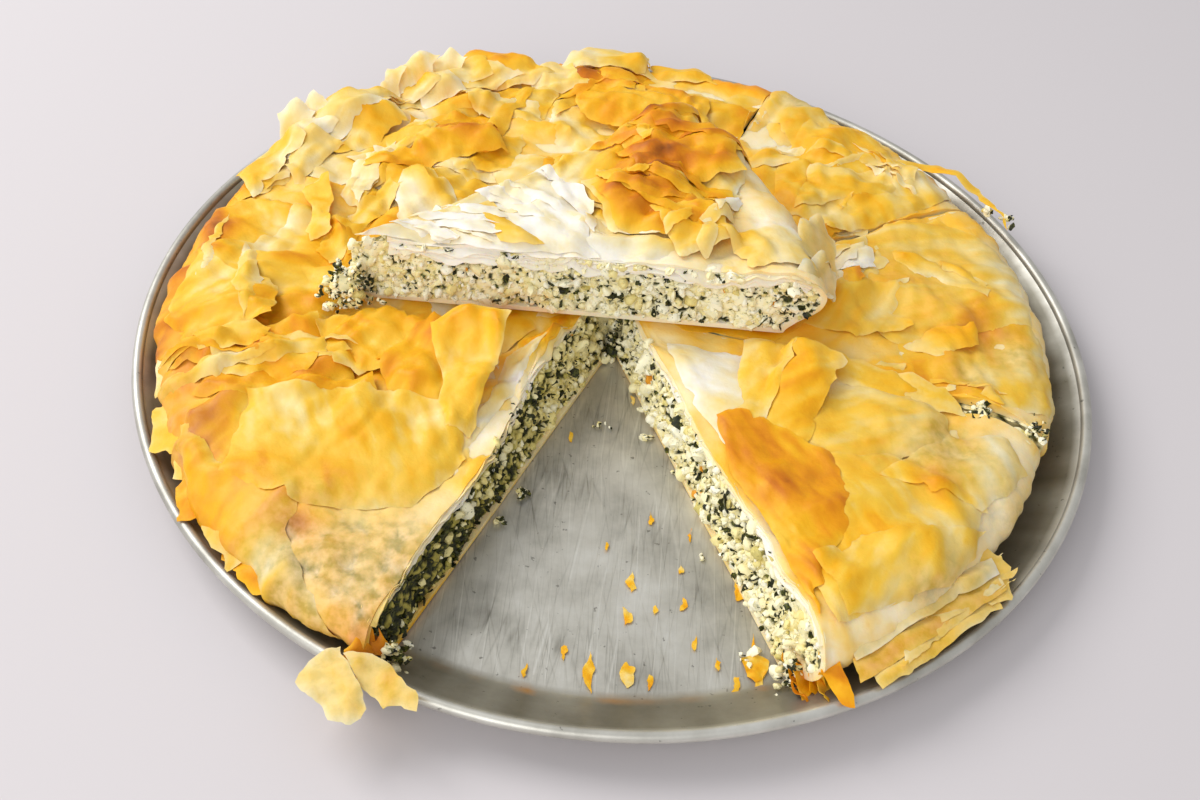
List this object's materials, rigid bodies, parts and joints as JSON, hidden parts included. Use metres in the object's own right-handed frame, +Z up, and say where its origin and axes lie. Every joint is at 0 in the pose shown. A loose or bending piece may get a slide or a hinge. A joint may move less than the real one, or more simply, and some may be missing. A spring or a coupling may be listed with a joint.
{
  "type": "cheese and spinach borek in its round baking tin",
  "caption": "Flat round layered pastry pie with cheese and spinach filling, cut in its baking tin, one wedge lifted out and laid on top.",
  "frame": {"origin": "centre of the tin's flat underside, where it meets the table", "axes": "+Z up out of the tin, -Y towards the empty sector left by the lifted wedge, +X to the right as seen from there"},
  "size_m": [0.3622, 0.3578, 0.0691],
  "materials": {
    "tin": "brushed and scratched by knives",
    "pastry": "baked thin pastry sheets, cream to golden brown",
    "filling": "moist crumbled cheese with dark chopped spinach"
  },
  "bodies": {
    "root": {"tin": "tin", "pastry_left": "pastry", "filling_left": "filling", "pastry_front_right": "pastry", "filling_front_right": "filling", "pastry_right": "pastry", "filling_right": "filling", "pastry_back": "pastry", "filling_back": "filling", "pastry_lifted": "pastry", "filling_lifted": "filling"}
  },
  "joints": []
}
